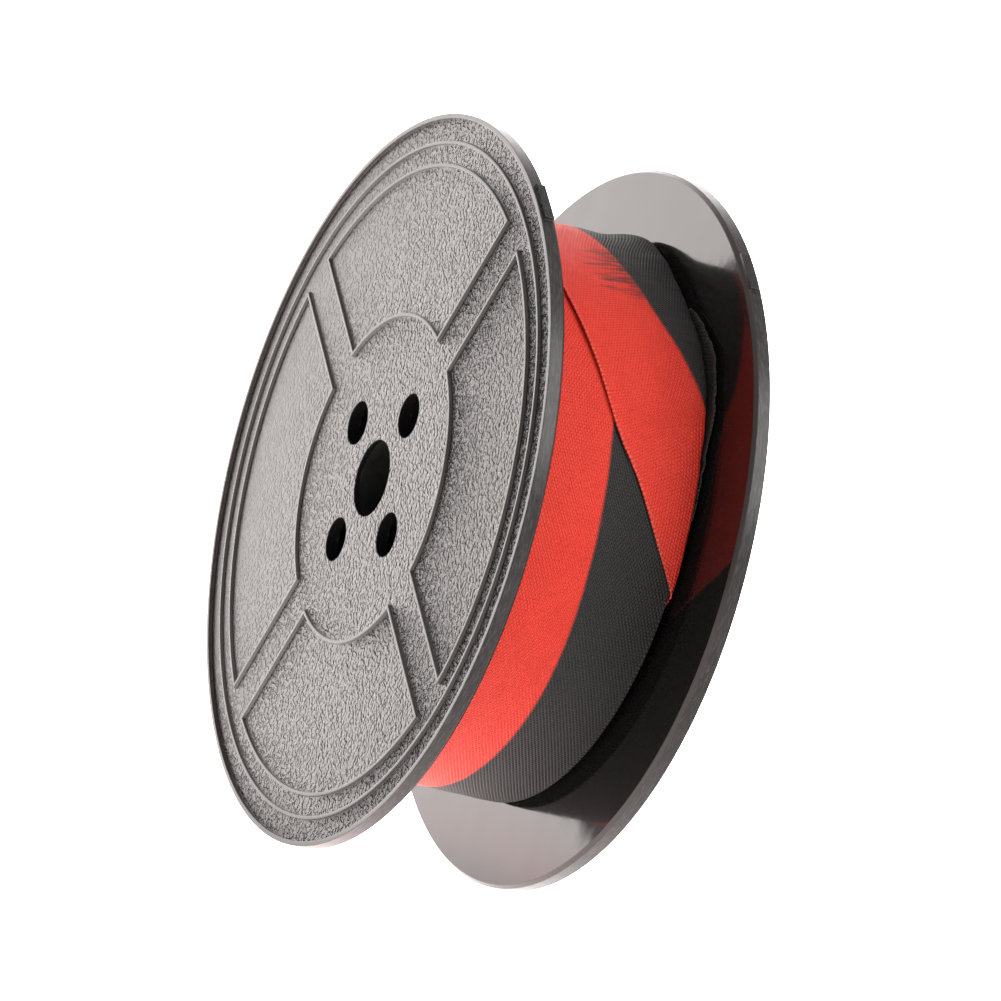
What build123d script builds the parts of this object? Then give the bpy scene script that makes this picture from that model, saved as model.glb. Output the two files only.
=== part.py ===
from build123d import *
import math
import os

os.makedirs("parts", exist_ok=True)

# A small two-flange spool carrying a 13 mm red and black inked fabric ribbon, as used on typewriters.
# Millimetres. The spindle axis is Y, the origin is on it halfway between the outer faces, the
# patterned front face looks along -Y and +Z is up. Sketches are drawn as seen from the front,
# X to the right and Z up, so angles run anticlockwise from +X towards +Z.

# ---- overall ----
flange_radius = 27.0
spool_width = 17.35
flange_thickness = 1.2
rim_chamfer = 0.25

# ---- spindle bore and drive holes ----
bore_radius = 2.85
drive_hole_radius = 1.65
drive_hole_circle = 6.15
drive_hole_count = 4
spoke_angle = 62.5

# ---- relief on the outer face of each flange ----
rim_land = 0.35
field_depth = 0.3
ridge_height = 0.2
ridge_width = 0.36
ridge_taper = 20.0
ring_ridge_radius = 24.9
panel_inner_radius = 12.1
panel_outer_radius = 23.2
spoke_width = 3.56

# ---- gate scars, the small nubs where each moulding was broken off its runner ----
gate_length = 3.6
gate_height = 0.18
gate_width = 0.7
front_gate_angle = 61.0
rear_gate_angle = 58.0

# ---- drum and spindle tube ----
drum_radius = 10.7
drum_wall = 1.2
spindle_tube_wall = 1.3
spigot_length = 0.5
spigot_wall = 0.7

# ---- pin that wedges the inner end of the ribbon in the drum ----
anchor_angle = 242.5
anchor_depth = 9.85
anchor_pin_radius = 0.85
anchor_boss_radius = 1.6
anchor_slot_width = 1.1

# ---- ribbon ----
ribbon_width = 13.0
windings_radius = 20.75
ribbon_offset = 0.025
turn_thickness = 0.2
last_turn_end_angle = 110.0
curl_radius = 22.2
curl_thickness = 0.4
curl_start_angle = 28.0
curl_end_angle = 62.0
tuck_radius = 15.0
tuck_thickness = 0.7
tuck_start_angle = -4.0
tuck_end_angle = 34.0

# ---- brass reversing eyelets, one near each end of the ribbon ----
eyelet_hole_radius = 1.5
eyelet_barrel_wall = 0.2
eyelet_lip_radius = 2.2
eyelet_lip_thickness = 0.15
outer_eyelet_angle = 205.0
inner_eyelet_angle = 150.0

# ---- worked out ----
front_face = -spool_width / 2
rear_face = spool_width / 2
front_inner = front_face + flange_thickness
rear_inner = rear_face - flange_thickness
ribbon_front = ribbon_offset - ribbon_width / 2
ribbon_rear = ribbon_offset + ribbon_width / 2
outer_turn_radius = windings_radius + turn_thickness
drum_inner_radius = drum_radius - drum_wall
overshoot = 1.0


def facing_front(y):
    """The plane at height y along the spindle, drawn as seen from the front."""
    return Plane(origin=(0, y, 0), x_dir=(1, 0, 0), z_dir=(0, -1, 0))


def slab(sketch, y_low, y_high):
    """The sketch as a solid between two heights along the spindle."""
    return extrude(facing_front(y_high) * sketch, y_high - y_low)


def annulus(outer, inner):
    return Circle(outer) - Circle(inner)


def sector(outer, inner, start, end):
    """The part of an annulus from angle start to angle end, in degrees."""
    rim = CenterArc((0, 0), outer, start, end - start)
    bore = CenterArc((0, 0), inner, start, end - start)
    return make_face([rim, Line(rim @ 1, bore @ 1), bore, Line(bore @ 0, rim @ 0)])


def on_circle(radius, angle):
    """The point of the sketch at that radius and angle."""
    return (radius * math.cos(math.radians(angle)), radius * math.sin(math.radians(angle)))


def drive_holes():
    """The holes for the machine's driving pin, in line with the spokes."""
    holes = Sketch()
    for i in range(drive_hole_count):
        centre = on_circle(drive_hole_circle, spoke_angle + 360 / drive_hole_count * i)
        holes += Pos(*centre) * Circle(drive_hole_radius)
    return holes


def panels():
    """The four sector-shaped panels between the spokes."""
    sectors = annulus(panel_outer_radius, panel_inner_radius)
    for turn in (0, 90):
        sectors -= Rot(0, 0, spoke_angle + turn) * Rectangle(2 * flange_radius, spoke_width)
    return sectors.faces()


def ridge_lines():
    """The narrow raised lines on the outer face: one ring and an outline round each panel."""
    half = ridge_width / 2
    lines = [annulus(ring_ridge_radius + half, ring_ridge_radius - half)]
    for panel in panels():
        grown = offset(panel, half, kind=Kind.INTERSECTION)
        shrunk = offset(panel, -half, kind=Kind.INTERSECTION)
        lines.append(grown - shrunk)
    return lines


def gate_scar(angle):
    """A short nub standing out of the rim."""
    middle = (front_face + front_inner) / 2
    block = Pos(flange_radius, 0) * Rectangle(2 * gate_height, gate_length)
    return slab(Rot(0, 0, angle) * block, middle - gate_width / 2, middle + gate_width / 2)


def drum_spigot():
    """The ring by which the drum is located in a flange."""
    return annulus(drum_inner_radius + spigot_wall, drum_inner_radius)


def spindle_tube_plan():
    return annulus(bore_radius + spindle_tube_wall, bore_radius)


def make_flange(gate_angle):
    """The front flange, with its relief facing -Y."""
    flange = slab(Circle(flange_radius), front_face, front_inner)
    inner_edge = flange.edges().filter_by(GeomType.CIRCLE).sort_by(Axis.Y)[-1]
    flange = chamfer(inner_edge, rim_chamfer)
    flange -= slab(Circle(flange_radius - rim_land), front_face, front_face + field_depth)
    for line in ridge_lines():
        base = facing_front(front_face + field_depth) * line
        flange += extrude(base, ridge_height, taper=ridge_taper)
    flange += gate_scar(gate_angle)
    flange -= slab(Circle(bore_radius), front_face, front_inner)
    flange -= slab(drive_holes(), front_face, front_inner)
    for seat in (drum_spigot(), spindle_tube_plan()):
        flange -= slab(seat, front_inner - spigot_length, front_inner)
    return flange


def make_hub_drum():
    """The drum that the ribbon is wound on, with a boss inside it for the anchor pin."""
    seat = on_circle(anchor_depth, anchor_angle)
    channel = Pos(drum_radius, 0) * Rectangle(2 * (drum_radius - anchor_depth), anchor_slot_width)
    plan = annulus(drum_radius, drum_inner_radius)
    plan += (Pos(*seat) * Circle(anchor_boss_radius)) & Circle(drum_radius)
    plan -= Pos(*seat) * Circle(anchor_pin_radius)
    plan -= Rot(0, 0, anchor_angle) * channel
    drum = slab(plan, front_inner, rear_inner)
    for y in (front_inner - spigot_length, rear_inner):
        drum += slab(drum_spigot(), y, y + spigot_length)
    return drum


def make_spindle_tube():
    return slab(spindle_tube_plan(), front_inner - spigot_length, rear_inner + spigot_length)


def radial_plane(angle, radius):
    """The plane across a radius of the spool, looking outwards, at the middle of the ribbon."""
    x, z = on_circle(radius, angle)
    return Plane(origin=(x, ribbon_offset, z), z_dir=(x / radius, 0, z / radius))


def make_eyelet(angle, barrel_start, lip_start):
    """A short tube through the ribbon with a turned-over lip on its outer side."""
    barrel_radius = eyelet_hole_radius + eyelet_barrel_wall
    barrel = annulus(barrel_radius, eyelet_hole_radius)
    lip = annulus(eyelet_lip_radius, eyelet_hole_radius)
    tube = extrude(radial_plane(angle, barrel_start) * barrel, lip_start - barrel_start)
    return tube + extrude(radial_plane(angle, lip_start) * lip, eyelet_lip_thickness)


def eyelet_clearance(angle, start, end):
    return extrude(radial_plane(angle, start) * Circle(eyelet_lip_radius + 0.1), end - start)


def make_windings():
    """The wound ribbon under its last turn, with a hollow round each eyelet."""
    windings = slab(annulus(windings_radius, drum_radius), ribbon_front, ribbon_rear)
    windings -= eyelet_clearance(outer_eyelet_angle, windings_radius - 0.4, windings_radius + overshoot)
    return windings - eyelet_clearance(inner_eyelet_angle, drum_radius - overshoot, drum_radius + 0.8)


def make_outer_turn():
    """The last full turn, lying straight, up to where it leaves its lay."""
    plan = sector(outer_turn_radius, windings_radius, last_turn_end_angle, 360)
    turn = slab(plan, ribbon_front, ribbon_rear)
    barrel = radial_plane(outer_eyelet_angle, windings_radius - overshoot)
    return turn - extrude(barrel * Circle(eyelet_hole_radius + eyelet_barrel_wall), 3 * overshoot)


def in_front_of(*angles_and_heights):
    """A block reaching forward from the plane through three points of the turn, given as (angle, y)."""
    points = []
    for angle, y in angles_and_heights:
        x, z = on_circle(outer_turn_radius, angle)
        points.append(Vector(x, y, z))
    normal = (points[1] - points[0]).cross(points[2] - points[0])
    if normal.Y > 0:
        normal = -normal
    size = 4 * flange_radius
    return extrude(Plane(origin=points[0], z_dir=normal) * Rectangle(size, size), size)


def make_loose_end():
    """The ribbon's end: it strays towards the rear flange, curls up it and is tucked in beside the pack."""
    curl_rear = ribbon_rear + 2 * curl_thickness
    strip = slab(sector(outer_turn_radius, windings_radius, 0, last_turn_end_angle), ribbon_front, curl_rear)
    strip -= in_front_of((last_turn_end_angle, ribbon_front), (57, -3.5), (30, -0.1))
    strip -= in_front_of((30, -0.1), (10, 4.5), (1, 6.7))
    curl = sector(curl_radius, windings_radius, curl_start_angle, curl_end_angle)
    curl = slab(curl, curl_rear - curl_thickness, curl_rear)
    tuck = sector(outer_turn_radius, tuck_radius, tuck_start_angle, tuck_end_angle)
    tuck = slab(tuck, ribbon_rear, ribbon_rear + tuck_thickness)
    return strip + curl + tuck


def make_anchor_pin():
    seat = on_circle(anchor_depth, anchor_angle)
    return slab(Pos(*seat) * Circle(anchor_pin_radius), ribbon_front, ribbon_rear)


def make_eyelets():
    outer = make_eyelet(outer_eyelet_angle, windings_radius - 0.3, outer_turn_radius)
    inner = make_eyelet(inner_eyelet_angle, drum_radius, drum_radius + 0.4)
    return Compound([outer, inner])


sub_parts = {
    "front_flange": make_flange(front_gate_angle),
    "rear_flange": mirror(make_flange(rear_gate_angle), Plane.XZ),
    "hub_drum": make_hub_drum(),
    "spindle_tube": make_spindle_tube(),
    "ribbon_anchor_pin": make_anchor_pin(),
    "ribbon_windings": make_windings(),
    "ribbon_outer_turn": make_outer_turn(),
    "ribbon_loose_end": make_loose_end(),
    "reversing_eyelets": make_eyelets(),
}

for name, shape in sub_parts.items():
    export_step(shape, f"parts/{name}.step")
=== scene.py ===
import math

import bmesh
import bpy
import numpy as np
from mathutils import Matrix, Vector, noise


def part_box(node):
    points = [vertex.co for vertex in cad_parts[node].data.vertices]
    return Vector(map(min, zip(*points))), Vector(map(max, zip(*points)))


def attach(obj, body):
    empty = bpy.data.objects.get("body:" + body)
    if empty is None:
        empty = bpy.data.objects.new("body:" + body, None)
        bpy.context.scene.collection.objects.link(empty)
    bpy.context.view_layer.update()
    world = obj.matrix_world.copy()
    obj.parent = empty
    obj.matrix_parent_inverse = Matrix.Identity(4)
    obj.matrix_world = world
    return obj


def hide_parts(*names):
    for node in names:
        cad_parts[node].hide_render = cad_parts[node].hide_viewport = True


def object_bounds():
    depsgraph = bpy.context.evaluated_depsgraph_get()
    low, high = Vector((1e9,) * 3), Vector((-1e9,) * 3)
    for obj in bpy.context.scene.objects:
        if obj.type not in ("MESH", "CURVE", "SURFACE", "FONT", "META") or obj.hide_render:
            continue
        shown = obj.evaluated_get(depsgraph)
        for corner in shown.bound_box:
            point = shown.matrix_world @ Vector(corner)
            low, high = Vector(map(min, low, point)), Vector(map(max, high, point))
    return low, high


# A black plastic spool holding a red and black inked ribbon, dressed for rendering. Lengths are in
# millimetres until a point is handed to Blender, which works in metres. The spindle is the Y axis.
# Angles run anticlockwise from +X towards +Z, as seen from the front. From its inner end outwards the
# ribbon runs clockwise.

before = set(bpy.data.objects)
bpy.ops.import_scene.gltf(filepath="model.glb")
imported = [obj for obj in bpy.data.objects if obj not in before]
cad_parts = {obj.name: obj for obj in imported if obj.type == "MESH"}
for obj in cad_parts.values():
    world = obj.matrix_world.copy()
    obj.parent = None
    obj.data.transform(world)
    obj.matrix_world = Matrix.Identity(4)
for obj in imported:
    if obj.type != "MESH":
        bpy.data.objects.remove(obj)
cad_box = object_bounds()

MM = 0.001

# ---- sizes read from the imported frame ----
front_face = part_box("front_flange")[0].y / MM
front_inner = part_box("front_flange")[1].y / MM
rear_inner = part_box("rear_flange")[0].y / MM
drum_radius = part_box("hub_drum")[1].z / MM
pack_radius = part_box("ribbon_windings")[1].z / MM
pack_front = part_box("ribbon_windings")[0].y / MM
pack_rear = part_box("ribbon_windings")[1].y / MM

# ---- relief of the flanges, as deep as the frame has it ----
field_depth = 0.3
chamfer_facing = 0.71

# ---- the cloth ----
cloth_width = pack_rear - pack_front
cloth_thickness = 0.09
cloth_seat = 0.06
warp_spacing = 0.133
weft_spacing = 0.23
stripe_across = 6.4
knot_spacing = 0.34

# ---- how the cloth is wound ----
inner_end_angle = 242.5
last_turn_angle = 110.0
full_turns = 94
first_radius = drum_radius + cloth_seat
last_radius = pack_radius - cloth_seat
anchor_dip = 0.7
outer_turn_rise = 0.12
eyelet_angle = 205.0
eyelet_hole = 1.75
eyelet_reach = 3.5
eyelet_lift = 0.06

# ---- the loose end: where its front edge runs, as (angle, place along the spindle) ----
loose_edge = [(110, -6.48), (98, -6.2), (87, -5.78), (75, -5.08), (57, -3.4), (43, -1.75), (30, 0.05),
              (20.5, 2.25), (10, 4.55), (1, 6.75), (-4, 8.0)]
loose_stripe = 7.15
loose_radius = pack_radius + 0.2
fold_line = pack_rear + cloth_seat
flange_gap = 0.07
shoulder_radius = 0.24
turn_radius = 0.12
hump_heights = [(112, 0.1), (98, 0.4), (88, 0.55), (80, 0.35), (72, 0.2), (62, 0.25), (50, 0.65), (42, 0.75),
                (35, 0.5), (27, 0.15), (10, 0.0)]
flap_tops = [(70, 20.8), (64, 21.0), (58, 21.5), (53, 21.6), (48, 21.9), (42, 21.75), (36, 21.6), (30, 21.1),
             (22, 20.7), (5, 20.0)]


# =====================================================================================================
# Cloth meshes
# =====================================================================================================

def on_spool(angle, along, radius):
    """The point at an angle in degrees, a place along the spindle and a radius, as three arrays."""
    turned = np.radians(angle)
    return np.stack([radius * np.cos(turned), along + 0 * turned, radius * np.sin(turned)], axis=-1)


def through(points, count):
    """A smooth curve of count points, evenly spaced, through the given ones."""
    knots = np.array(points, float)
    knots = np.vstack([2 * knots[0] - knots[1], knots, 2 * knots[-1] - knots[-2]])
    curve = []
    for a, b, c, d in zip(knots, knots[1:], knots[2:], knots[3:]):
        for t in np.linspace(0, 1, 40, endpoint=False):
            curve.append(0.5 * (2 * b + (c - a) * t + (2 * a - 5 * b + 4 * c - d) * t ** 2
                                + (3 * b - 3 * c + d - a) * t ** 3))
    curve.append(knots[-2])
    curve = np.array(curve)
    travelled = np.concatenate([[0], np.cumsum(np.linalg.norm(np.diff(curve, axis=0), axis=1))])
    even = np.linspace(0, travelled[-1], count)
    return np.stack([np.interp(even, travelled, curve[:, i]) for i in range(curve.shape[1])], axis=-1), even


def eased(x, pairs):
    """The value at x of a smooth curve through (x, value) pairs given with x falling."""
    xs = np.array([p[0] for p in pairs][::-1], float)
    ys = np.array([p[1] for p in pairs][::-1], float)
    i = np.clip(np.searchsorted(xs, x) - 1, 0, len(xs) - 2)
    t = np.clip((x - xs[i]) / (xs[i + 1] - xs[i]), 0, 1)
    t = t * t * (3 - 2 * t)
    return ys[i] * (1 - t) + ys[i + 1] * t


def smooth_step(value, low, high):
    """0 at the low value, 1 at the high one and smooth between."""
    t = min(1.0, max(0.0, (value - low) / (high - low)))
    return t * t * (3 - 2 * t)


def grid_normals(points):
    """The unit normal at each point of a grid of points."""
    along = np.gradient(points, axis=0)
    across = np.gradient(points, axis=1)
    normal = np.cross(along, across)
    return normal / np.maximum(np.linalg.norm(normal, axis=-1, keepdims=True), 1e-9)


def cloth_object(name, top, bottom, along, across, past_stripe):
    """A closed strip of cloth between two grids, with its weave coordinates in millimetres."""
    rows, columns = top.shape[:2]
    total = rows * columns
    points = np.concatenate([top.reshape(-1, 3), bottom.reshape(-1, 3)]) * MM
    index = np.arange(total).reshape(rows, columns)
    a, b, c, d = index[:-1, :-1], index[1:, :-1], index[1:, 1:], index[:-1, 1:]
    upper = np.stack([a, b, c, d], axis=-1).reshape(-1, 4)
    lower = np.stack([d, c, b, a], axis=-1).reshape(-1, 4) + total
    edge = np.concatenate([index[:, 0], index[-1, 1:], index[-2::-1, -1], index[0, -2:0:-1]])
    turned = np.roll(edge, -1)
    rim = np.stack([edge, edge + total, turned + total, turned], axis=-1)
    faces = np.concatenate([upper, lower, rim])
    mesh = bpy.data.meshes.new(name)
    mesh.from_pydata(points.tolist(), [], faces.tolist())
    weave = np.stack([along, across, past_stripe], axis=-1).reshape(-1, 3)
    weave = np.concatenate([weave, weave]).astype(np.float32)
    attribute = mesh.attributes.new("weave", "FLOAT_VECTOR", "POINT")
    attribute.data.foreach_set("vector", weave.ravel())
    mesh.polygons.foreach_set("use_smooth", np.ones(len(mesh.polygons), bool))
    mesh.set_sharp_from_angle(angle=math.radians(60))
    mesh.update()
    piece = bpy.data.objects.new(name, mesh)
    bpy.context.scene.collection.objects.link(piece)
    return piece


def wander(values, size, seed):
    """Smooth random values between about -1 and 1, with waves about as long as the given size."""
    found = [noise.noise(Vector((v / size, seed, 0.5))) for v in np.ravel(values)]
    return np.array(found).reshape(np.shape(values))


def make_windings():
    """The wound pack: one strip in a little over ninety-four turns, from the drum outwards."""
    per_turn = 96
    swept = inner_end_angle - last_turn_angle + 360 * full_turns
    count = int(swept / 360 * per_turn)
    travelled = np.linspace(0, swept, count)
    radius = first_radius + (last_radius - first_radius) * travelled / swept
    radius = radius - anchor_dip * np.exp(-((travelled / 3.0) ** 2))
    angle = inner_end_angle - travelled
    length = np.concatenate([[0], np.cumsum(np.radians(np.diff(travelled)) * radius[1:])])
    shift = 0.09 * wander(travelled, 260.0, 3.0) + 0.04 * wander(travelled, 70.0, 9.0)
    across = np.array([0.0, cloth_width])
    along = np.repeat(length[:, None], 2, axis=1) - length[-1]
    place = pack_front + shift[:, None] + across[None, :]
    half = cloth_thickness / 2
    top = on_spool(angle[:, None] + 0 * place, place, radius[:, None] + half)
    bottom = on_spool(angle[:, None] + 0 * place, place, radius[:, None] - half)
    wide = np.repeat(across[None, :], count, axis=0)
    piece = cloth_object("wound_ribbon", top, bottom, along, wide, wide - stripe_across)
    return piece, length[-1]


def outer_radius(travelled):
    """The radius of the last full turn after it has run so many degrees."""
    return last_radius + cloth_seat + outer_turn_rise * travelled / 360


def cut_eyelet_hole(piece):
    """Open a round hole for the eyelet's barrel through both sides of a strip, and close its rim."""
    turned = math.radians(eyelet_angle)
    outward = Vector((math.cos(turned), 0, math.sin(turned)))
    sideways = Vector((-math.sin(turned), 0, math.cos(turned)))
    middle = Vector((0, pack_front + cloth_width / 2, 0))

    def off_centre(vertex):
        place = vertex.co / MM - middle
        if place.dot(outward) < 0:
            return place, math.inf
        return place, math.hypot(place.dot(sideways), place.y)

    mesh = bmesh.new()
    mesh.from_mesh(piece.data)
    inside = [v for v in mesh.verts if off_centre(v)[1] < eyelet_hole - 0.1]
    bmesh.ops.delete(mesh, geom=inside, context="VERTS")
    rim = [e for e in mesh.edges if e.is_boundary]
    for vertex in {v for e in rim for v in e.verts}:
        place, distance = off_centre(vertex)
        share = eyelet_hole / distance - 1
        place += (sideways * place.dot(sideways) + Vector((0, place.y, 0))) * share
        vertex.co = (place + middle) * MM
    bmesh.ops.bridge_loops(mesh, edges=rim)
    bmesh.ops.recalc_face_normals(mesh, faces=mesh.faces)
    mesh.to_mesh(piece.data)
    mesh.free()


def make_outer_turn():
    """The last full turn. It rises a little under the eyelet's lip, and has a hole for its barrel."""
    travelled = np.linspace(0, 360, 541)
    across = np.linspace(0, cloth_width, 53)
    angle = last_turn_angle - travelled
    along = np.radians(travelled) * pack_radius
    along = along - along[-1]
    front = pack_front + 0.08 * np.sin(np.radians(travelled)) ** 2
    drift = -0.2 + 0.9 * (1 - np.cos(np.radians(np.clip((travelled - 80) * 2.4, 0, 180)))) / 2
    drift = drift * np.clip((360 - travelled) / 60, 0, 1)
    wide, place_along = np.meshgrid(across, travelled)
    past = wide - stripe_across + (-drift[:, None] + 0.05 * wander(travelled, 7.0, 5.0)[:, None])
    lift = 0.03 * wander(place_along * 0.4 + wide * 7.0, 9.0, 2.0)
    from_eyelet = (angle[:, None] - eyelet_angle + 180 + 360) % 360 - 180
    toward = np.radians(from_eyelet) * pack_radius + 0 * wide
    distance = np.hypot(toward, wide - cloth_width / 2)
    near_eyelet = np.exp(-((distance / eyelet_reach) ** 2))
    lift = np.maximum(lift, -0.01) * (1 - near_eyelet) + eyelet_lift * near_eyelet
    middle = outer_radius(travelled)[:, None] + lift
    centre = on_spool(angle[:, None] + 0 * wide, front[:, None] + wide, middle)
    normal = on_spool(angle[:, None] + 0 * wide, 0 * wide, 1 + 0 * wide)
    half = cloth_thickness / 2
    top, bottom = centre + normal * half, centre - normal * half
    length = np.repeat(along[:, None], len(across), axis=1)
    piece = cloth_object("last_turn_of_ribbon", top, bottom, length, wide, past)
    cut_eyelet_hole(piece)
    return piece


def fold(past, depth):
    """How far the cloth has gone along the spindle and outwards, a distance past its fold line.

    It bends over the pack's edge, runs inwards for a depth, turns back and runs outwards again."""
    quarter = math.pi / 2 * shoulder_radius
    bent = min(past, quarter) / shoulder_radius
    y = shoulder_radius * math.sin(bent)
    r = shoulder_radius * (math.cos(bent) - 1)
    left = past - quarter
    if left <= 0:
        return y, r
    r -= min(left, depth)
    left -= depth
    if left <= 0:
        return y, r
    half_turn = math.pi * turn_radius
    bent = min(left, half_turn) / turn_radius
    y += turn_radius * (1 - math.cos(bent))
    r -= turn_radius * math.sin(bent)
    return y, r + max(0.0, left - half_turn)


def make_loose_end():
    """The ribbon's end. It strays to the rear flange, folds into the gap there and stands up again."""
    rows, columns = 221, 131
    edge, travelled = through([(-math.radians(t) * loose_radius, y) for t, y in loose_edge], rows)
    direction = np.gradient(edge, axis=0)
    direction = direction / np.linalg.norm(direction, axis=1, keepdims=True)
    across = np.linspace(0, cloth_width, columns)
    arc = edge[:, 0][:, None] - direction[:, 1][:, None] * across
    reach = edge[:, 1][:, None] + direction[:, 0][:, None] * across
    angle = np.degrees(-arc / loose_radius)
    rear_angle = angle[:, -1][::-1]
    rear_past = (reach[:, -1] - fold_line)[::-1]
    rise = 1 - np.exp(-travelled / 9.0)
    centre = np.zeros((rows, columns, 3))
    for i in range(rows):
        base = outer_radius(360) + (loose_radius - outer_radius(360)) * rise[i]
        loose = min(1.0, travelled[i] / 7)
        for j in range(columns):
            theta = angle[i, j]
            wrinkle = noise.noise(Vector((theta * 0.11, 0.022 * j, 4.0)))
            ripple = noise.noise(Vector((theta * 0.5, 0.03 * j, 8.0)))
            past = reach[i, j] - fold_line + 0.08 * wrinkle
            near = smooth_step(past, -3.2, -0.1)
            slack = 0.45 * math.exp(-((theta - 90) / 15) ** 2) * smooth_step(across[j], 2.0, 8.0)
            edge_lift = 0.13 * math.exp(-across[j] / 0.7) * smooth_step(theta, 10.0, 50.0)
            hump = float(eased(theta, hump_heights))
            lift = slack + hump * near + 0.15 * wrinkle * near + 0.03 * ripple + edge_lift
            r = base + max(0.0, lift) * loose
            y = reach[i, j]
            if past > 0:
                top = float(eased(theta, flap_tops))
                total = float(np.interp(theta, rear_angle, rear_past))
                spare = total - math.pi / 2 * shoulder_radius - math.pi * turn_radius
                spare -= top - base + shoulder_radius
                depth = max(0.35, spare / 2) + 4.0 * smooth_step(theta, 63.0, 70.0)
                out, up = fold(past, depth)
                shake = min(1.0, past / 1.5)
                y = reach[i, j] - past + out + 0.05 * ripple * shake
                r = r + up + 0.08 * ripple * shake
            centre[i, j] = on_spool(theta, min(y, rear_inner - flange_gap), r)
    normal = grid_normals(centre)
    outward = np.sign((normal[:, :1] * on_spool(angle[:, :1], 0, 1.0)).sum(axis=-1, keepdims=True))
    normal = normal * outward
    half = cloth_thickness / 2
    length = np.repeat(travelled[:, None], columns, axis=1)
    wide = np.repeat(across[None, :], rows, axis=0)
    wobble = 0.04 * wander(travelled, 1.6, 6.0)
    stripe = stripe_across + (loose_stripe - stripe_across) * np.clip(length / 12, 0, 1)
    past_stripe = wide - stripe + wobble[:, None]
    piece = cloth_object("loose_end_of_ribbon", centre + normal * half, centre - normal * half,
                         length, wide, past_stripe)
    return piece, travelled[-1]


# =====================================================================================================
# Materials
# =====================================================================================================

class Nodes:
    """A material's node tree, with short ways to add to it."""

    def __init__(self, name):
        self.material = bpy.data.materials.new(name)
        self.material.use_nodes = True
        self.tree = self.material.node_tree
        self.shader = self.tree.nodes["Principled BSDF"]

    def put(self, socket, value):
        if isinstance(value, bpy.types.NodeSocket):
            self.tree.links.new(value, socket)
        else:
            socket.default_value = value

    def add(self, kind, inputs=None, **settings):
        node = self.tree.nodes.new("ShaderNode" + kind)
        for key, value in settings.items():
            setattr(node, key, value)
        for key, value in (inputs or {}).items():
            self.put(node.inputs[key], value)
        return node

    def maths(self, operation, first, second=0.0):
        return self.add("Math", {0: first, 1: second}, operation=operation).outputs[0]

    def vectors(self, operation, first, second):
        return self.add("VectorMath", {0: first, 1: second}, operation=operation).outputs[0]

    def ramp(self, value, low, high, start=0.0, end=1.0):
        """Start where the value is low, end where it is high, and smooth between."""
        node = self.add("MapRange", {0: value, 1: low, 2: high, 3: start, 4: end})
        node.interpolation_type = "SMOOTHSTEP"
        return node.outputs[0]

    def mix(self, share, first, second):
        """The second colour by a share of 0 to 1, and the rest the first."""
        node = self.add("Mix", data_type="RGBA")
        self.put(node.inputs[0], share)
        self.put(node.inputs[6], first)
        self.put(node.inputs[7], second)
        return node.outputs[2]

    def noise(self, place, scale, detail=2.0, roughness=0.5):
        values = {"Vector": place, "Scale": scale, "Detail": detail, "Roughness": roughness}
        return self.add("TexNoise", values).outputs[0]

    def bump(self, height, distance, normal=None, strength=1.0):
        node = self.add("Bump", {"Height": height, "Distance": distance, "Strength": strength})
        if normal is not None:
            self.put(node.inputs["Normal"], normal)
        return node.outputs[0]

    def place(self):
        """The place in the part's frame, in millimetres."""
        where = self.add("TexCoord").outputs["Object"]
        return self.vectors("MULTIPLY", where, (1 / MM, 1 / MM, 1 / MM))

    def set(self, **values):
        """Values of the shader's own sockets, named with underscores for spaces."""
        for key, value in values.items():
            self.put(self.shader.inputs[key.replace("_", " ")], value)


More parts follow.
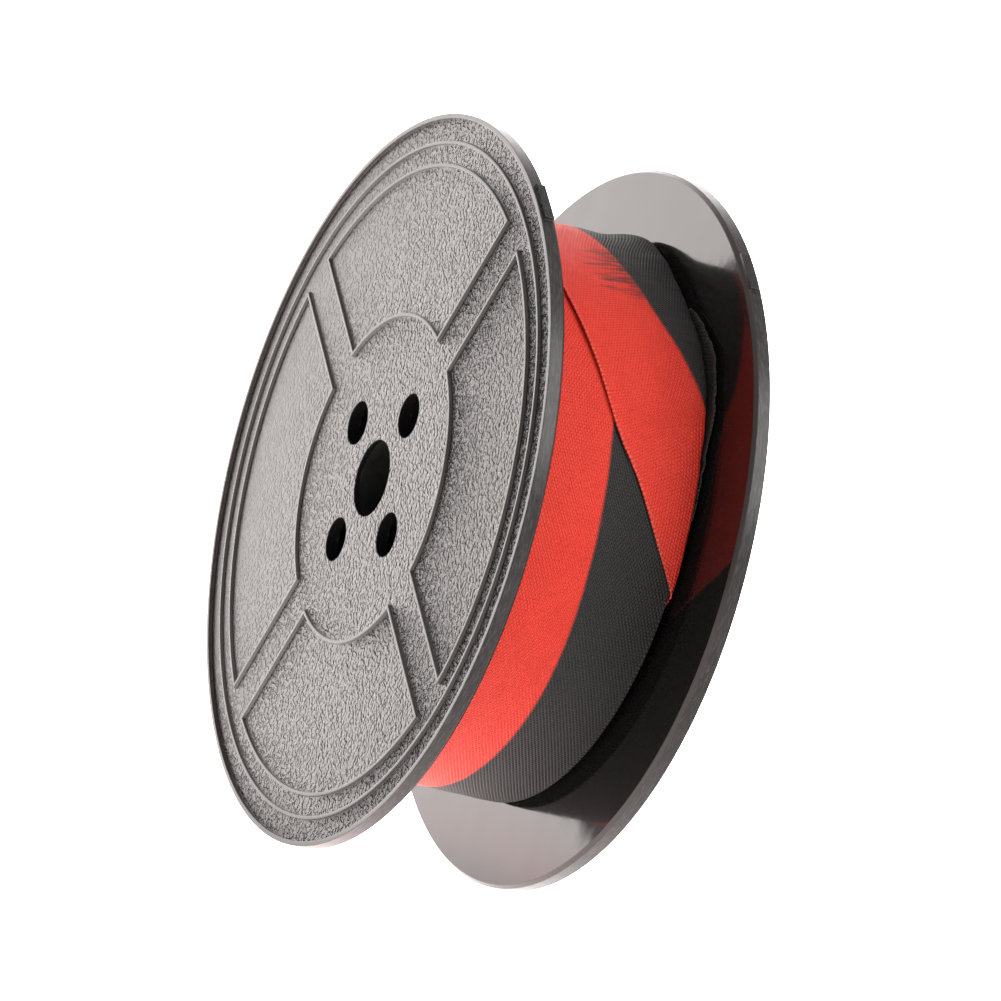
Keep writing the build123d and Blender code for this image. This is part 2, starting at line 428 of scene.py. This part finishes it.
def flange_plastic():
    """Glossy black moulding: grained in the fields of its outer face, smooth on ridges, rim and inside.

    The grain is shallower, and the field a little rougher, towards -X."""
    n = Nodes("black_moulded_plastic")
    place = n.place()
    split = n.add("SeparateXYZ", {0: place})
    depth = n.maths("ABSOLUTE", split.outputs[1])
    facing = n.add("SeparateXYZ", {0: n.add("NewGeometry").outputs["True Normal"]})
    end_on = n.maths("ABSOLUTE", facing.outputs[1])
    flat = n.ramp(end_on, 0.6, 0.85)
    field = -front_face - field_depth
    above = n.ramp(depth, field - 0.06, field - 0.03)
    below = n.ramp(depth, field + 0.05, field + 0.1, 1.0, 0.0)
    grained = n.maths("MULTIPLY", flat, n.maths("MULTIPLY", above, below))
    inside = n.maths("MULTIPLY", flat, n.ramp(depth, -front_inner + 0.02, -front_inner + 0.2, 1.0, 0.0))
    worms = n.noise(place, 3.2, 1.3, 0.4)
    cells = n.ramp(worms, 0.36, 0.54)
    shallow = n.ramp(split.outputs[0], -22.0, 22.0, 0.06, 1.35)
    fine = n.noise(place, 9.0, 2.0, 0.5)
    grain = n.maths("ADD", cells, n.maths("MULTIPLY", fine, 0.2))
    depth_share = n.maths("MULTIPLY", grained, shallow)
    rounded = n.add("Bevel", {"Radius": 0.12 * MM}, samples=4).outputs[0]
    coarse = n.bump(n.maths("MULTIPLY", grain, depth_share), 0.26 * MM, rounded)
    waves = n.noise(place, 0.22, 1.0, 0.4)
    scuffs = n.noise(n.vectors("MULTIPLY", place, (1.4, 9.0, 1.4)), 1.0, 3.0, 0.6)
    smooth = n.maths("ADD", waves, n.maths("MULTIPLY", scuffs, 0.03))
    surface = n.bump(smooth, 0.05 * MM, coarse, 0.6)
    flat_place = n.vectors("MULTIPLY", place, (1.0, 0.0, 1.0))
    radius = n.add("VectorMath", {0: flat_place}, operation="LENGTH").outputs["Value"]
    band = n.maths("MULTIPLY", n.ramp(end_on, 0.15, 0.4, 1.0, 0.0), n.ramp(radius, 11.0, 12.0))
    dust = n.ramp(n.noise(place, 5.5, 3.0, 0.7), 0.62, 0.78, 0.0, 0.05)
    # Paler scuffed streaks on the rim's cylinder: partly wear, partly a painted reflection.
    wear_and_painted_light = n.maths("MULTIPLY", band, n.ramp(scuffs, 0.4, 0.75, 0.01, 0.12))
    # Painted highlight: the steep walls of the ridges and steps inside the rim are painted 0.15 paler.
    steep = n.maths("MULTIPLY", n.ramp(end_on, 0.45, 0.8, 1.0, 0.0), above)
    walls = n.maths("MULTIPLY", n.ramp(radius, 9.0, 9.5), n.ramp(radius, 26.7, 26.8, 0.15, 0.0))
    # Painted highlight: a thin paler line on the rim's chamfered lip.
    off_chamfer = n.maths("ABSOLUTE", n.maths("SUBTRACT", end_on, chamfer_facing))
    slant = n.ramp(off_chamfer, 0.1, 0.2, 1.0, 0.0)
    edge = n.maths("MULTIPLY", slant, n.ramp(radius, 26.5, 26.6, 0.0, 0.1))
    # All the paler marks together: real dust and wear, with the painted highlights and painted reflection
    # above, mixed in as brown-grey.
    wear_and_painted_light = n.maths("ADD", n.maths("MULTIPLY", steep, walls), n.maths("ADD", wear_and_painted_light, edge))
    pale = n.maths("ADD", dust, wear_and_painted_light)
    dust_and_painted_light_colour = n.mix(pale, (0.009, 0.0085, 0.0085, 1), (0.38, 0.31, 0.285, 1))
    pits = n.maths("MULTIPLY", n.maths("SUBTRACT", 1.0, cells), depth_share)
    rough = n.ramp(n.noise(place, 0.8, 3.0, 0.6), 0.3, 0.7, 0.15, 0.2)
    rough = n.maths("ADD", rough, n.maths("MULTIPLY", pits, 0.08))
    softened = n.maths("MULTIPLY", grained, n.ramp(split.outputs[0], -22.0, 10.0, 0.15, 0.0))
    rough = n.maths("ADD", rough, softened)
    rough = n.maths("ADD", rough, n.maths("MULTIPLY", band, 0.12))
    rough = n.maths("SUBTRACT", rough, n.maths("MULTIPLY", inside, 0.08))
    n.set(Base_Color=dust_and_painted_light_colour, Roughness=rough, Normal=surface)
    n.set(Specular_IOR_Level=0.4)
    return n.material


def core_plastic():
    """Matt black plastic with a faint grain."""
    n = Nodes("matt_core_plastic")
    place = n.place()
    height = n.noise(place, 4.0, 3.0, 0.6)
    colour = n.mix(n.ramp(height, 0.3, 0.7), (0.007, 0.007, 0.007, 1), (0.013, 0.0125, 0.0125, 1))
    rough = n.ramp(n.noise(place, 1.3, 2.0, 0.5), 0.3, 0.7, 0.36, 0.5)
    n.set(Base_Color=colour, Roughness=rough, Normal=n.bump(height, 0.01 * MM))
    return n.material


def eyelet_brass():
    """Stamped brass, dulled by ink in patches."""
    n = Nodes("stamped_brass")
    place = n.place()
    patches = n.ramp(n.noise(place, 1.6, 4.0, 0.65), 0.45, 0.7)
    colour = n.mix(n.maths("MULTIPLY", patches, 0.6), (0.72, 0.50, 0.20, 1), (0.16, 0.09, 0.05, 1))
    rough = n.ramp(patches, 0.0, 1.0, 0.22, 0.5)
    lines = n.noise(n.vectors("MULTIPLY", place, (14.0, 1.5, 14.0)), 1.0, 2.0, 0.5)
    n.set(Base_Color=colour, Roughness=rough, Metallic=1.0, Normal=n.bump(lines, 0.004 * MM))
    return n.material


def inked_ribbon():
    """Plain-woven cloth, inked red along one half and black along the other."""
    n = Nodes("inked_woven_ribbon")
    weave = n.add("Attribute", attribute_name="weave").outputs["Vector"]
    split = n.add("SeparateXYZ", {0: weave})
    along, across, past = split.outputs[0], split.outputs[1], split.outputs[2]
    unevenness = n.noise(weave, 1.1, 2.0, 0.6)
    shifted = n.maths("ADD", along, n.maths("MULTIPLY", unevenness, 0.1))
    weft = n.maths("SINE", n.maths("MULTIPLY", shifted, math.pi / weft_spacing))
    warp = n.maths("SINE", n.maths("MULTIPLY", across, math.pi / warp_spacing))
    over = n.maths("MULTIPLY", warp, weft)
    between_warps = n.maths("SUBTRACT", 1.0, n.maths("MULTIPLY", warp, warp))
    between_wefts = n.maths("SUBTRACT", 1.0, n.maths("MULTIPLY", weft, weft))
    holes = n.maths("MULTIPLY", between_warps, between_wefts)
    bumps = n.maths("SUBTRACT", 1.0, holes)
    yarn = n.noise(n.vectors("MULTIPLY", weave, (1.0, 4.5, 1.0)), 1.0, 3.0, 0.6)
    height = n.maths("ADD", n.maths("MULTIPLY", bumps, 0.6), n.maths("MULTIPLY", over, 0.8))
    height = n.maths("ADD", height, n.maths("MULTIPLY", yarn, 0.7))
    near_edge = n.maths("MINIMUM", across, n.maths("SUBTRACT", cloth_width, across))
    selvedge = n.ramp(near_edge, 0.12, 0.3, 1.0, 0.0)
    knots = n.maths("SINE", n.maths("MULTIPLY", along, 2 * math.pi / knot_spacing))
    height = n.maths("ADD", height, n.maths("MULTIPLY", selvedge, n.maths("ADD", knots, 1.0)))

    # How deep the painted shade in the weave's gaps goes, varying at random.
    painted_gap_shade = n.ramp(n.noise(weave, 3.0, 2.0, 0.6), 0.3, 0.7, 0.1, 0.7)
    # Painted highlight: the red selvedge's knots are painted pink where that edge catches light, fading in
    # between 14 and 26 mm along.
    painted_pink_glint = n.maths("MULTIPLY", n.ramp(knots, -0.6, 0.9, 0.05, 0.4), n.ramp(along, 14.0, 26.0, 0.1, 1.0))
    # Painted highlight: the black selvedge's knots are painted grey where the folded edge catches light,
    # fading in over the first 6 mm along.
    painted_grey_glint = n.maths("MULTIPLY", n.ramp(knots, -0.6, 0.9, 0.2, 0.7), n.ramp(along, 0.0, 6.0, 0.05, 1.0))
    # Painted light and shade in the weave: raised crossings are painted lighter and the gaps between yarns
    # darker, in the red and the black alike.
    painted_weave_shading = n.maths("ADD", 0.9, n.maths("MULTIPLY", over, 0.3))
    painted_weave_shading = n.maths("SUBTRACT", painted_weave_shading, n.maths("MULTIPLY", holes, painted_gap_shade))
    patches = n.noise(weave, 0.35, 3.0, 0.6)
    red = n.mix(painted_weave_shading, (0.2, 0.005, 0.003, 1), (0.85, 0.045, 0.023, 1))
    red = n.mix(n.ramp(patches, 0.35, 0.75, 0.0, 0.4), red, (0.60, 0.023, 0.012, 1))
    red = n.mix(n.maths("MULTIPLY", selvedge, painted_pink_glint), red, (0.95, 0.22, 0.16, 1))
    black = n.mix(painted_weave_shading, (0.001, 0.001, 0.001, 1), (0.021, 0.0195, 0.0195, 1))
    black = n.mix(n.ramp(patches, 0.3, 0.75, 0.0, 0.5), black, (0.010, 0.0095, 0.0095, 1))
    black = n.mix(n.maths("MULTIPLY", selvedge, painted_grey_glint), black, (0.10, 0.095, 0.09, 1))
    ragged = n.maths("MULTIPLY", n.maths("SUBTRACT", n.noise(weave, 4.0, 2.0, 0.6), 0.5), 0.16)
    blacked = n.ramp(n.maths("ADD", past, ragged), -0.16, 0.16)
    streak_place = n.vectors("MULTIPLY", weave, (2.6, 0.3, 0.0))
    streaks = n.noise(streak_place, 1.0, 1.5, 0.5)
    streaks = n.maths("ADD", streaks, n.ramp(past, -4.5, 0.0, -0.16, 0.12))
    streaks = n.ramp(streaks, 0.46, 0.7)
    window = n.maths("MULTIPLY", n.ramp(along, 11.5, 14.5), n.ramp(along, 18.5, 20.0, 1.0, 0.0))
    smears = n.maths("MULTIPLY", n.maths("MULTIPLY", streaks, window), 0.8)
    specks = n.ramp(n.noise(weave, 1.9, 1.0, 0.4), 0.79, 0.82, 0.0, 0.6)
    inked = n.maths("MAXIMUM", blacked, n.maths("MAXIMUM", smears, specks))
    colour = n.mix(inked, red, black)
    rough = n.ramp(bumps, 0.0, 1.0, 1.0, 0.5)
    n.set(Base_Color=colour, Roughness=rough, Normal=n.bump(height, 0.04 * MM))
    n.set(Specular_IOR_Level=0.4)
    return n.material


def pale_floor():
    """A plain white light table, brighter towards -X and dimmer in front of the spool."""
    n = Nodes("pale_floor")
    split = n.add("SeparateXYZ", {0: n.place()})
    x, y = split.outputs[0], split.outputs[1]
    glow = n.ramp(x, -25.0, 55.0, 3.7, 0.4)
    ahead = n.maths("SUBTRACT", n.maths("MULTIPLY", n.maths("ADD", y, 9.0), -1.0),
                    n.maths("MULTIPLY", n.maths("ABSOLUTE", x), 0.9))
    glow = n.maths("MULTIPLY", glow, n.ramp(ahead, 5.0, 60.0, 1.0, 0.1))
    n.set(Base_Color=(0.86, 0.85, 0.84, 1), Roughness=0.9, Specular_IOR_Level=0.1)
    n.set(Emission_Color=(1.0, 0.935, 0.915, 1), Emission_Strength=glow)
    return n.material


# =====================================================================================================
# Stage
# =====================================================================================================

def make_floor():
    """A large round floor that the rims stand on."""
    mesh = bpy.data.meshes.new("floor")
    reach = 3.0
    level = cad_box[0].z
    turns = np.linspace(0, 2 * math.pi, 96, endpoint=False)
    ring = [(reach * math.cos(a), reach * math.sin(a), level) for a in turns]
    mesh.from_pydata(ring, [], [list(range(len(ring)))])
    floor = bpy.data.objects.new("floor", mesh)
    bpy.context.scene.collection.objects.link(floor)
    mesh.materials.append(pale_floor())


def make_world():
    """A pale studio all round: brighter towards -X, dimmer towards -Y and overhead."""
    world = bpy.data.worlds.new("studio")
    bpy.context.scene.world = world
    world.use_nodes = True
    tree = world.node_tree
    where = tree.nodes.new("ShaderNodeTexCoord")
    split = tree.nodes.new("ShaderNodeSeparateXYZ")
    tree.links.new(where.outputs["Generated"], split.inputs[0])
    product = None
    to_side, to_front, overhead = (-0.5, -0.85, 1.0, 3.8), (-0.6, -0.88, 1.0, 0.2), (0.25, 0.7, 1.0, 0.45)
    for axis, values in enumerate((to_side, to_front, overhead)):
        part = tree.nodes.new("ShaderNodeMapRange")
        part.interpolation_type = "SMOOTHSTEP"
        tree.links.new(split.outputs[axis], part.inputs[0])
        for index, value in enumerate(values):
            part.inputs[index + 1].default_value = value
        if product is None:
            product = part.outputs[0]
            continue
        times = tree.nodes.new("ShaderNodeMath")
        times.operation = "MULTIPLY"
        tree.links.new(product, times.inputs[0])
        tree.links.new(part.outputs[0], times.inputs[1])
        product = times.outputs[0]
    background = tree.nodes["Background"]
    background.inputs["Color"].default_value = (1.0, 0.955, 0.94, 1)
    tree.links.new(product, background.inputs["Strength"])


def make_softbox(name, direction, distance, size, power):
    """A square area light facing the spool."""
    data = bpy.data.lights.new(name, "AREA")
    data.shape = "SQUARE"
    data.size = size
    data.energy = power
    light = bpy.data.objects.new(name, data)
    bpy.context.scene.collection.objects.link(light)
    toward = Vector(direction).normalized()
    light.location = toward * distance
    light.rotation_mode = "QUATERNION"
    light.rotation_quaternion = toward.to_track_quat("Z", "Y")
    return light


def make_camera():
    """The camera, at the side of the spool and a little above, with the picture turned."""
    azimuth, elevation, roll = math.radians(64.563), math.radians(8.0), math.radians(17.861)
    distance = 344.352
    aim = Vector((3.949, 0.055, 1.307))
    back = Vector((math.sin(azimuth) * math.cos(elevation), -math.cos(azimuth) * math.cos(elevation),
                   math.sin(elevation)))
    level = Vector((math.cos(azimuth), math.sin(azimuth), 0))
    upright = back.cross(level)
    right = level * math.cos(roll) + upright * math.sin(roll)
    up = upright * math.cos(roll) - level * math.sin(roll)
    data = bpy.data.cameras.new("camera")
    data.lens = 172.0
    data.sensor_width = 36.0
    data.clip_start = 0.01
    data.clip_end = 20.0
    camera = bpy.data.objects.new("camera", data)
    bpy.context.scene.collection.objects.link(camera)
    place = (aim + back * distance) * MM
    camera.matrix_world = Matrix((right, up, back)).transposed().to_4x4()
    camera.location = place
    bpy.context.scene.camera = camera


# =====================================================================================================
# Putting it together
# =====================================================================================================

def dress(node, finish):
    """A CAD node keeps its shape and gets a better material."""
    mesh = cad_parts[node].data
    mesh.materials.clear()
    mesh.materials.append(finish)


plastic = flange_plastic()
core = core_plastic()
brass = eyelet_brass()
fabric = inked_ribbon()

for node in ("front_flange", "rear_flange"):
    dress(node, plastic)
for node in ("hub_drum", "spindle_tube", "ribbon_anchor_pin"):
    dress(node, core)
dress("reversing_eyelets", brass)

windings, wound_length = make_windings()
last_turn = make_outer_turn()
loose_end, loose_length = make_loose_end()
turn_length = 2 * math.pi * pack_radius

for piece, node, length, held, rests_on in (
    (windings, "ribbon_windings", wound_length, "stretched", ["hub_drum"]),
    (last_turn, "ribbon_outer_turn", turn_length, "stretched", ["wound_ribbon"]),
    (loose_end, "ribbon_loose_end", loose_length, "folded", ["last_turn_of_ribbon", "rear_flange"]),
):
    piece.data.materials.append(fabric)
    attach(piece, "root")
    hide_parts(node)

make_floor()
make_world()
make_softbox("overhead", (0.1, 0.1, 1.0), 0.6, 0.5, 0.4)
make_softbox("key", (0.64, 0.42, 0.64), 0.6, 0.4, 2.25)
make_camera()
bpy.context.scene.view_settings.view_transform = "Standard"
